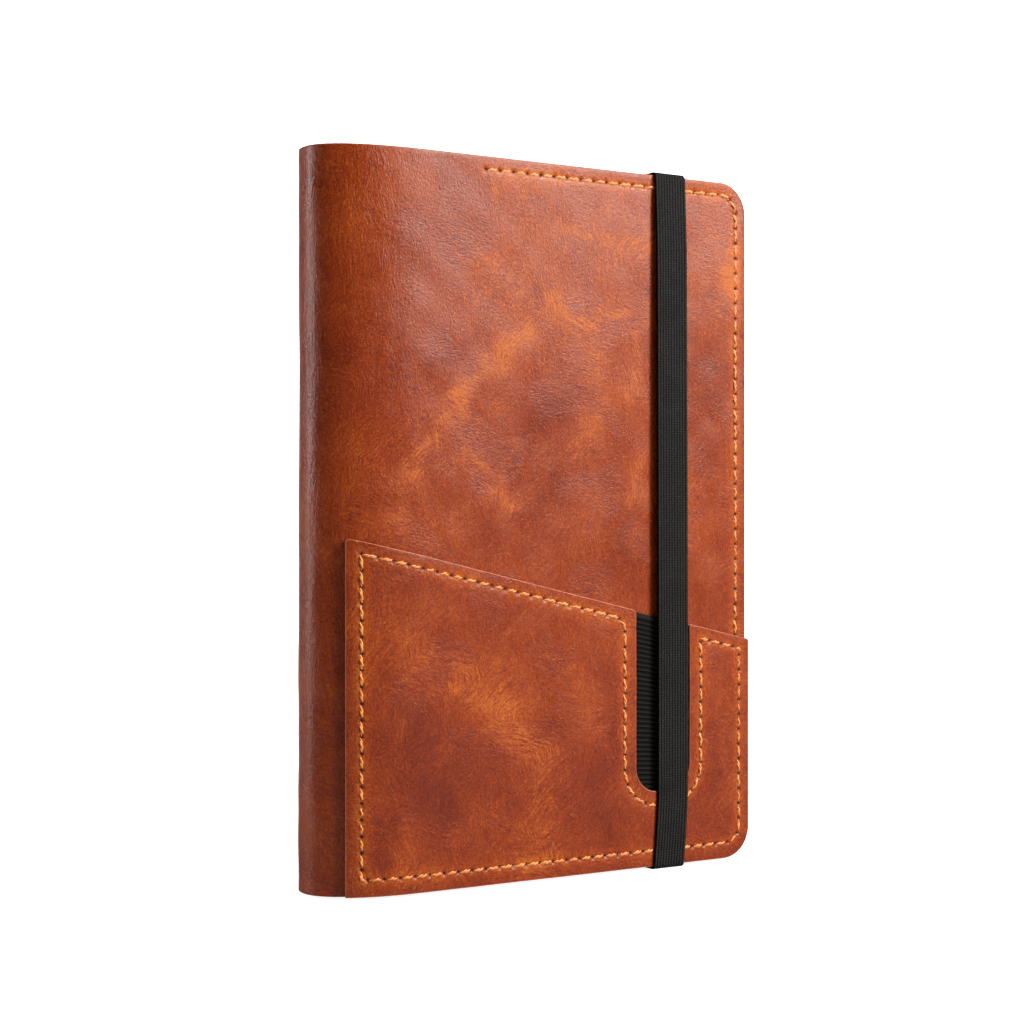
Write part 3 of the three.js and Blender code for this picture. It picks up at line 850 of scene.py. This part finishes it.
def page_paper(name):
    """Cream paper. Faces are ruled, and edges show the leaves."""
    skin = Skin(name, 0.88)
    spot = skin.field("sheet_mm")
    height = spot.parts()[1]
    edge = skin.field("marks").parts()[2]
    fibres = spot.noise(1.2, 4, 0.65)
    tooth = spot.noise(5, 2)
    leaves = spot.scaled((0.005, 0.005, 6)).noise(1, 2, 0.7)
    colour = fibres.ramp((0.2, 196, 187, 165), (0.8, 210, 202, 182))
    on_edge = edge.between(0.2, 0.5, 1, 0)
    # Painted shade on the page edges: darker lines between the leaves.
    painted_shade_between_leaves = leaves.between(0.35, 0.6, 0.5, 0) * on_edge
    colour = painted_shade_between_leaves.mix(colour, srgb(176, 160, 134))
    from_line = height.math("PINGPONG", RULING_PITCH / 2)
    ruling = from_line.between(0.05, 0.16, 0.5, 0) * edge.between(6, 6.3)
    ruling = ruling * fibres.between(0.2, 0.5, 0.6, 1)
    colour = ruling.mix(colour, srgb(142, 150, 158))
    return skin.finish(colour, (tooth * 0.3 + leaves * on_edge).bump(0.06))


def plain_paper(name):
    skin = Skin(name, 0.85)
    fibres = skin.own_place().noise(0.9, 4, 0.65)
    colour = fibres.ramp((0.25, 192, 182, 160), (0.75, 206, 198, 178))
    return skin.finish(colour, fibres.bump(0.05))


def headband_cloth(name):
    skin = Skin(name, 0.75, Sheen_Weight=0.2)
    spot = skin.field("sheet_mm")
    stripe = spot.parts()[1].math("PINGPONG", 0.9).between(0.4, 0.5)
    fuzz = spot.noise(5, 3)
    colour = stripe.mix(srgb(226, 214, 190), srgb(150, 62, 40))
    colour = fuzz.between(0.3, 0.7, 0.25, 0).mix(colour, srgb(70, 40, 30))
    return skin.finish(colour, fuzz.bump(0.05))


cover_leather = leather("cover_leather", 1)
pocket_leather = leather("pocket_leather", 4, -0.06, 0.2)
sleeve_leather = leather("sleeve_leather", 7, -0.05, 0.1)
raw_leather = flesh_side("raw_leather")
lining = lining_cloth("lining_cloth")
thread = waxed_thread("thread")
band_elastic = woven_elastic("band_elastic")
loop_elastic = ribbed_elastic("loop_elastic")
cloth = book_cloth("book_cloth")
paper = page_paper("page_paper")

# ---- Seams ----

front_seam = Seam([
    (SEAM_END, SEAM_TOP),
    (SEAM_INSET, SEAM_TOP, SEAM_CORNER),
    (SEAM_INSET, pocket_top_at(SEAM_INSET) + 0.6),
], COVER_PITCH)

back_seam = Seam([
    (SEAM_END, SEAM_TOP),
    (SEAM_INSET, SEAM_TOP, SEAM_CORNER),
    (SEAM_INSET, SEAM_BOTTOM, SEAM_CORNER),
    (SEAM_END, SEAM_BOTTOM),
], COVER_PITCH)

POCKET_SEAM_DROP = 3.8
seam_near = NOTCH_NEAR - NOTCH_SEAM_INSET
seam_far = NOTCH_FAR + NOTCH_SEAM_INSET
seam_spine = POCKET_WIDTH - SEAM_INSET
seam_bottom = NOTCH_BOTTOM - NOTCH_SEAM_INSET
seam_radius = NOTCH_RADIUS + NOTCH_SEAM_INSET


def below_slope(across):
    """A corner of the seam under the pocket's slanted edge."""
    return across, pocket_top_at(across) - POCKET_SEAM_DROP


pocket_seam = Seam([
    below_slope(seam_spine),
    (seam_spine, SEAM_BOTTOM),
    (SEAM_INSET, SEAM_BOTTOM, SEAM_CORNER),
    below_slope(SEAM_INSET),
    below_slope(seam_near),
    (seam_near, seam_bottom, seam_radius),
    (seam_far, seam_bottom, seam_radius),
    (*below_slope(seam_far), 5),
], POCKET_PITCH, closed=True)

# ---- The wrap ----


def wrap_relief(side):
    def relief(length, height):
        x = side * (HALF_LENGTH - length)
        soft = 0.16 * ripple(x, height, 55, 21) + 0.05 * ripple(x, height, 16, 22)
        at_spine = smooth(length_at(112), length_at(134), length)
        creases = 0.025 * ripple(x * 5, height * 0.8, 26, 23) * at_spine
        fade = smooth(0, 5, length) * smooth(0, 5, height - LOW) * smooth(0, 5, HIGH - height)
        return soft * fade + creases * smooth(0, 6, height - LOW) * smooth(0, 6, HIGH - height)
    return relief


def upside_down(brush):
    """The same strokes with top and bottom changed over, so that the back doesn't mirror the front."""
    return [(width, strength, *[(across, LOW + HIGH - height) for across, height in points])
            for width, strength, *points in brush]


def wrap_half(side, seam, glow, shade):
    outline = panel_outline(0, HALF_LENGTH, LOW, HIGH, COVER_CORNER, 0.9)
    half = sheet(f"wrap_{WORDS[side]}", outline, side, -LEATHER, 0, [cover_leather, raw_leather],
                 seams=[seam], relief=wrap_relief(side), glow=glow, shade=shade, straight_edge=HALF_LENGTH)
    finish_piece(half, side, "cover_leather", f"{WORDS[side]}_cover_panel", "spine_panel")


wrap_half(FRONT, front_seam, COVER_GLOW_AND_PAINTED_LIGHT, COVER_SHADE)
wrap_half(BACK, back_seam, upside_down(COVER_GLOW_AND_PAINTED_LIGHT), upside_down(COVER_SHADE))

# ---- The pocket ----


def pocket_outline(notch_near, notch_far, notch_bottom, notch_radius, far_corner):
    """Anticlockwise round the pocket. The notch opens upwards."""
    path = rounded_path([
        (0, LOW, COVER_CORNER),
        (POCKET_WIDTH, LOW),
        (POCKET_WIDTH, pocket_top_at(POCKET_WIDTH), 1),
        (notch_far, pocket_top_at(notch_far), far_corner),
        (notch_far, notch_bottom, notch_radius),
        (notch_near, notch_bottom, notch_radius),
        (notch_near, pocket_top_at(notch_near), 0.6),
        (0, pocket_top_at(0), 0.8),
    ], 0.7)
    return on_leather(path)


def pocket_relief(length, height):
    soft = 0.13 * ripple(length, height, 42, 31) + 0.04 * ripple(length, height, 12, 32)
    return soft * smooth(0, 4, length)


CUT_RIM = ((0.3, 0), (0.05, 0.05), (0, 0.2), (0, 0.8), (0.04, 0.92), (0.12, 0.98), (0.3, 1))
pocket_edge = pocket_outline(NOTCH_NEAR, NOTCH_FAR, NOTCH_BOTTOM, NOTCH_RADIUS, 1.5)
pocket = sheet("pocket_skin", pocket_edge, FRONT, POCKET_OUT - POCKET_LEATHER, POCKET_OUT,
               [pocket_leather, raw_leather], rim=CUT_RIM, fold_spacing=0.9, seams=[pocket_seam],
               relief=pocket_relief, glow=POCKET_GLOW, shade=POCKET_SHADE)
finish_piece(pocket, FRONT, "pocket_leather", "front_pocket_panel")

# The lining stops round the pen loop.
loop_room = PEN_LOOP_MARGIN + 0.3
lining_edge = pocket_outline(NOTCH_NEAR - loop_room, NOTCH_FAR + loop_room, NOTCH_BOTTOM - loop_room, 1, 1)
lining_sheet = sheet("pocket_lining", lining_edge, FRONT, TOUCH_GAP, LINING_OUT, [lining, lining],
                     rim=((0.1, 0), (0, 0.3), (0, 0.7), (0.1, 1)), spacing=4, fold_spacing=0.9)
finish_piece(lining_sheet, FRONT, "pocket_lining", "front_pocket_lining")


def pen_loop():
    """The flat elastic behind the notch, ribbed across, with a smooth border along its top edge."""
    columns = np.linspace(NOTCH_NEAR - PEN_LOOP_MARGIN, NOTCH_FAR + PEN_LOOP_MARGIN, 60)
    across, share = np.meshgrid(columns, np.linspace(0, 1, 420))
    bottom = NOTCH_BOTTOM - PEN_LOOP_MARGIN
    top = pocket_top_at(across) - 0.5
    height = bottom + (top - bottom) * share
    rib_count = round(np.mean(top - bottom) / PEN_LOOP_RIB)
    rib_phase = share * rib_count
    is_border = smooth(0.972, 0.978, share)
    ridge = 0.5 + 0.5 * np.cos(math.tau * rib_phase)
    proud = LINING_OUT - 0.2 + 0.2 * (ridge ** 0.7 * (1 - is_border) + is_border)
    proud = proud + 0.02 * ripple(across, height, 5, 41)
    face = place(across, height, proud, FRONT).reshape(-1, 3)
    back = place(across, height, TOUCH_GAP, FRONT).reshape(-1, 3)
    rest = listed(across, height, rib_phase * (1 - is_border))
    faces = [quad[::-1] for quad in quads(0, *across.shape, wraps=False)]
    faces += quads(across.size, *across.shape, wraps=False)
    faces += border_faces(*across.shape)
    piece = new_piece("pen_loop", np.concatenate([face, back]), faces, [loop_elastic],
                      sheet_mm=np.tile(rest, (2, 1)))
    finish_piece(piece, "front_cover", "ribbed_elastic", "pen_loop_elastic")


def border_faces(rows, columns):
    """Walls between a grid and its copy."""
    ids = np.arange(rows * columns).reshape(rows, columns)
    loop = [*ids[0], *ids[1:, -1], *ids[-1, -2::-1], *ids[-2:0:-1, 0]]
    return [(here, after, after + ids.size, here + ids.size)
            for here, after in zip(loop, loop[1:] + loop[:1])]


pen_loop()

# ---- Inner sleeves ----

SLEEVE_WIDTH = 103
SLEEVE_LEATHER = 1.2
SLEEVE_FACE = sleeve_high[1] - cover_low[1]
SLEEVE_SEWN_FACE = LEATHER + SLEEVE_LEATHER + TOUCH_GAP


def sleeve_face(length, height):
    """How far in the sleeve's page side lies: sewn flat at three edges, raised over the board."""
    from_end = np.minimum(height - LOW, HIGH - height)
    corner = np.hypot(np.minimum(length - COVER_CORNER, 0), np.minimum(from_end - COVER_CORNER, 0))
    from_edge = np.minimum(COVER_CORNER - corner, np.minimum(length, from_end))
    raised = smooth(4.3, 5.3, from_edge)
    return -(SLEEVE_SEWN_FACE + (SLEEVE_FACE - SLEEVE_SEWN_FACE) * raised)


def sleeve_back(length, height):
    return sleeve_face(length, height) + SLEEVE_LEATHER


for side, word in WORDS.items():
    edge = panel_outline(0.4, SLEEVE_WIDTH, LOW + 0.4, HIGH - 0.4, COVER_CORNER, 1)
    sleeve = sheet(f"sleeve_{word}", edge, side, sleeve_face, sleeve_back, [raw_leather, sleeve_leather],
                   rim=((0.3, 0), (0.1, 0.06), (0, 0.25), (0, 0.8), (0.3, 1)), spacing=1.6)
    finish_piece(sleeve, f"{word}_cover", "sleeve_leather", f"{word}_inner_sleeve")

# ---- Thread ----

stitches("stitches_front", front_seam, FRONT, 0, "front_cover", "front_perimeter_thread")
stitches("stitches_back", back_seam, BACK, -0.1, "back_cover", "back_perimeter_thread", thickness=0.46)
stitches("stitches_pocket", pocket_seam, FRONT, POCKET_OUT, FRONT, "pocket_thread")
for side, word in WORDS.items():
    stitches(f"stitches_sleeve_{word}", back_seam, side, -SLEEVE_SEWN_FACE, f"{word}_cover",
             f"{word}_sleeve_thread", facing=-1)

# ---- The elastic band ----

BAND_THICKNESS = 0.95
LEG_TOP_Z = (leg_low[2] + leg_high[2]) / 2
LEG_BOTTOM_Z = run_high[2] - LEG_TOP_Z
RUN_STAND_OFF = POCKET_OUT + 0.1
RUN_TOP_STAND_OFF = 0.3
RUN_LIFTED_STAND_OFF = 1.25
RUN_LIFT = 24
BAND_LEAN = 1.7
BAND_LEAN_HEIGHT = 24
TAIL_Y = (tail_low[1] + tail_high[1]) / 2


def band_section():
    """Half-thickness across the band's width: ribs between two smooth borders."""
    border = 1
    spots = np.linspace(-BAND_HALF_WIDTH, BAND_HALF_WIDTH, 97)
    ribs = BAND_THICKNESS / 2 * (0.72 + 0.28 * np.abs(np.cos(math.pi * spots / RIB_PITCH)) ** 0.8)
    from_side = BAND_HALF_WIDTH - np.abs(spots)
    beads = BAND_THICKNESS / 2 * np.sqrt(np.clip(1 - (1 - np.minimum(from_side / 0.45, 1)) ** 2, 0.05, 1))
    blend = smooth(border - 0.15, border + 0.15, from_side)
    beads = beads * (1 - 0.35 * np.exp(-(((from_side - border) / 0.12) ** 2)))
    return spots, beads * (1 - blend) + ribs * blend


def band_lean(height):
    return BAND_LEAN * np.clip((BAND_LEAN_HEIGHT - height) / BAND_LEAN_HEIGHT, 0, 1) ** 1.3


def band(name, corners, body, node, step=0.8):
    """Sweeps the band's section along a path whose corners are (y, height) or (y, height, radius)."""
    path = rounded_path(corners, step, closed=False)
    spots, half = band_section()
    out = left_of(np.gradient(path, axis=0))
    loop_across = np.concatenate([spots, spots[::-1]])
    loop_out = np.concatenate([half, -half[::-1]])
    centre_x = FORE_EDGE_X - BAND_CENTRE - band_lean(path[:, 1])
    points = listed(centre_x[:, None] + loop_across, path[:, :1] + out[:, :1] * loop_out,
                    path[:, 1:] + out[:, 1:] * loop_out)
    rest = listed(loop_across, reach_along(path)[:, None], loop_out)
    faces = tube_faces(0, len(path), len(loop_across))
    piece = new_piece(name, points, faces, [band_elastic], sheet_mm=rest)
    return finish_piece(piece, body, "woven_elastic", node)


def front_y(proud):
    return MIDDLE_Y - HALF_DEPTH - proud


run_y = front_y(RUN_STAND_OFF + BAND_THICKNESS / 2)
run_top_y = front_y(RUN_TOP_STAND_OFF + BAND_THICKNESS / 2)
run_lifted_y = front_y(RUN_LIFTED_STAND_OFF + BAND_THICKNESS / 2)
lift_height = pocket_top_at(BAND_CENTRE) + 1
TOP_JOIN_Y = front_y(-1.6)
BOTTOM_JOIN_Y = front_y(-0.2)

band("band_run", [
    (TOP_JOIN_Y, LEG_TOP_Z),
    (run_top_y, LEG_TOP_Z, 1.4),
    (run_lifted_y, LEG_TOP_Z - RUN_LIFT, 100),
    (run_y, lift_height, 60),
    (run_y, LEG_BOTTOM_Z, 1),
    (BOTTOM_JOIN_Y, LEG_BOTTOM_Z),
], "band_run", "band_front_run", 1.2)


def band_leg(name, join_y, height, tail_turn, node):
    """A leg from the front run to where the band goes in at the back."""
    corners = [(join_y, height), (TAIL_Y, height, 1), (TAIL_Y, height + tail_turn)]
    leg = band(name, corners, "band_arm", node)
    draw = next(joint for joint in frame["record"]["behaviour"]["joints"] if joint["name"] == "band_draw")
    reach_left = TAIL_Y - join_y - draw["range_m"][1] / MM
    reach_left / (TAIL_Y - join_y)
    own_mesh(leg)


LEG_TURN = 1.1
band_leg("band_leg_top", TOP_JOIN_Y, LEG_TOP_Z, -LEG_TURN, "band_top_leg")
band_leg("band_leg_bottom", BOTTOM_JOIN_Y, LEG_BOTTOM_Z, LEG_TURN, "band_bottom_leg")
TAIL_START = LEG_TURN + 0.06
for name, start, end, node in (
    ("band_tail_top", LEG_TOP_Z - TAIL_START, tail_low[2], "band_upper_tail"),
    ("band_tail_bottom", LEG_BOTTOM_Z + TAIL_START, LOW + HIGH - tail_low[2], "band_lower_tail"),
):
    band(name, [(TAIL_Y, start), (TAIL_Y, end)], "back_cover", node)

# ---- The notebook ----

PAGE_CORNER = 5
BOARD_RIM = ((0.35, 0), (0.1, 0.08), (0, 0.25), (0, 0.75), (0.1, 0.92), (0.35, 1))
LEAVES = 9


def book_part(name, node, side, step, skin, rim, spacing, fold_spacing=None):
    """A sheet that fills a node's box and follows the cover's curve."""
    low, high = box_mm(node)
    across = FORE_EDGE_X - high[0], FORE_EDGE_X - low[0]
    outline = on_leather(panel_outline(*across, low[2], high[2], PAGE_CORNER, step))
    depths = (low[1] - front_y(0), high[1] - front_y(0))
    if side == BACK:
        depths = (back_high[1] - high[1], back_high[1] - low[1])
    return sheet(name, outline, side, -depths[1], -depths[0], [skin, skin], rim, spacing, fold_spacing)


def leaf_rim():
    """Rows that go in and out a little, like the cut edges of many leaves."""
    random = np.random.default_rng(9)
    rows = [(0.5, 0)]
    for leaf in range(LEAVES):
        setback = random.uniform(0, 0.12)
        rows.append((setback, (leaf + 0.12) / LEAVES))
        rows.append((setback, (leaf + 0.88) / LEAVES))
        if leaf < LEAVES - 1:
            rows.append((0.28, (leaf + 1) / LEAVES))
    return rows + [(0.5, 1)]


for side, word in WORDS.items():
    node = f"notebook_{word}_board"
    board = book_part(f"board_{word}", node, side, 2, cloth, BOARD_RIM, 6)
    finish_piece(board, f"{word}_cover", "book_cloth", node)

for order in range(1, 7):
    side = FRONT if order <= 3 else BACK
    node = f"page_section_{order}"
    pages = book_part(f"pages_{order}", node, side, 1.5, paper, leaf_rim(), 5, 1.2)
    finish_piece(pages, side, "paper", node)


def headband(name, node):
    """A rolled strip of striped cloth at the end of the pages."""
    low, high = box_mm(node)
    middle = (low + high) / 2
    half = (high - low) / 2
    around = np.linspace(0, math.tau, 16, endpoint=False)
    spots = np.linspace(low[1], high[1], 90)
    wraps = 1 - 0.08 * (0.5 + 0.5 * np.cos(math.tau * spots / 0.6))
    ends = np.sqrt(np.clip(1 - ((spots - middle[1]) / (half[1] + 0.05)) ** 16, 0.1, 1))
    girth = (wraps * ends)[:, None]
    x = middle[0] + half[0] * girth * np.cos(around)
    z = middle[2] + half[2] * girth * np.sin(around)
    points = listed(x, spots[:, None], z)
    faces = tube_faces(0, len(spots), len(around))
    piece = new_piece(name, points, faces, [headband_skin], sheet_mm=points)
    finish_piece(piece, "spine", "headband_cloth", node)


headband_skin = headband_cloth("headband_skin")
headband("headband_upper", "headband_top")
headband("headband_lower", "headband_bottom")


endpaper_skin = plain_paper("endpaper_skin")
for node, skin in (
    ("notebook_spine_strip", book_cloth("spine_cloth", is_cad=True)),
    ("front_endpaper", endpaper_skin),
    ("back_endpaper", endpaper_skin),
):
    materials = frame["nodes"][node].data.materials
    materials.clear()
    materials.append(skin)

# ---- Camera, lights and floor ----

VIEW_TURN = math.radians(-32.2)
CAMERA_DISTANCE = 620.6
CAMERA_SIDE = -2.64
LENS = 68.8
HORIZON_SHIFT = 0.0033882  # a share of the picture's width


def add_camera():
    ahead = Vector((-math.sin(VIEW_TURN), math.cos(VIEW_TURN), 0))
    right = Vector((ahead.y, -ahead.x, 0))
    data = bpy.data.cameras.new("camera")
    data.lens = LENS
    data.shift_y = HORIZON_SHIFT
    camera = new_object("camera", data)
    camera.location = (right * CAMERA_SIDE - ahead * CAMERA_DISTANCE + Vector((0, 0, MIDDLE_Z))) * MM
    camera.rotation_euler = (math.pi / 2, 0, VIEW_TURN)
    bpy.context.scene.camera = camera


def add_light(name, location, aim, width, height, power, colour=(1, 1, 1)):
    data = bpy.data.lights.new(name, "AREA")
    data.shape = "RECTANGLE"
    data.size = width
    data.size_y = height
    data.energy = power
    data.color = colour
    light = new_object(name, data)
    light.location = location
    light.rotation_euler = (Vector(aim) - Vector(location)).to_track_quat("-Z", "Y").to_euler()


def add_floor():
    """A pale floor that curves up into a wall behind the object."""
    skin = Skin("floor_skin", 0.9, Specular_IOR_Level=0.1)
    mottle = skin.value("TexCoord", "Object").noise(3, 2)
    skin.finish(mottle.ramp((0.3, 187.5, 187.5, 187.5), (0.7, 192.5, 192.5, 192.5)))
    skin.set(skin.surface["Emission Strength"], skin.value("LightPath", "Is Camera Ray") * 0.92)
    rows = [(-4, 0), (-1, 0)]
    rows += [(2 + math.sin(a), 1 - math.cos(a)) for a in np.linspace(0, math.pi / 2, 13)]
    rows += [(3, 4)]
    points = [(x * 1000, y * 1000, z * 1000) for y, z in rows for x in (-5, 5)]
    faces = [(2 * i, 2 * i + 1, 2 * i + 3, 2 * i + 2) for i in range(len(rows) - 1)]
    floor = new_piece("floor", points, faces, [skin.material])
    floor.rotation_euler = (0, 0, VIEW_TURN)


def add_world():
    """Plain white round the stage, and a dimmer white as light."""
    world = bpy.data.worlds.new("studio")
    world.use_nodes = True
    nodes = world.node_tree.nodes
    seen = nodes["Background"]
    cast = nodes.new("ShaderNodeBackground")
    for background, strength in ((seen, 1), (cast, 0.07)):
        background.inputs["Color"].default_value = (1, 1, 1, 1)
        background.inputs["Strength"].default_value = strength
    is_seen = nodes.new("ShaderNodeLightPath").outputs["Is Camera Ray"]
    either = nodes.new("ShaderNodeMixShader")
    for socket, source in zip(either.inputs, (is_seen, cast.outputs[0], seen.outputs[0])):
        world.node_tree.links.new(source, socket)
    world.node_tree.links.new(either.outputs[0], nodes["World Output"].inputs["Surface"])
    bpy.context.scene.world = world


add_camera()
add_floor()
add_world()
add_light("key", (0.78, -1.07, 0.8), (0, 0, 0.13), 0.45, 0.8, 35, (1, 0.96, 0.9))
add_light("rim", (-1.38, 0.85, 0.35), (0, 0, 0.11), 0.5, 1.2, 24)
add_light("backdrop", (0.75, 1.2, 1.6), (1.6, 2.6, 0.9), 2.5, 1, 90)
add_light("front_top", (0.25, -0.4, 0.7), (0, 0, 0.15), 0.4, 0.4, 4)
bpy.context.scene.view_settings.view_transform = "Standard"
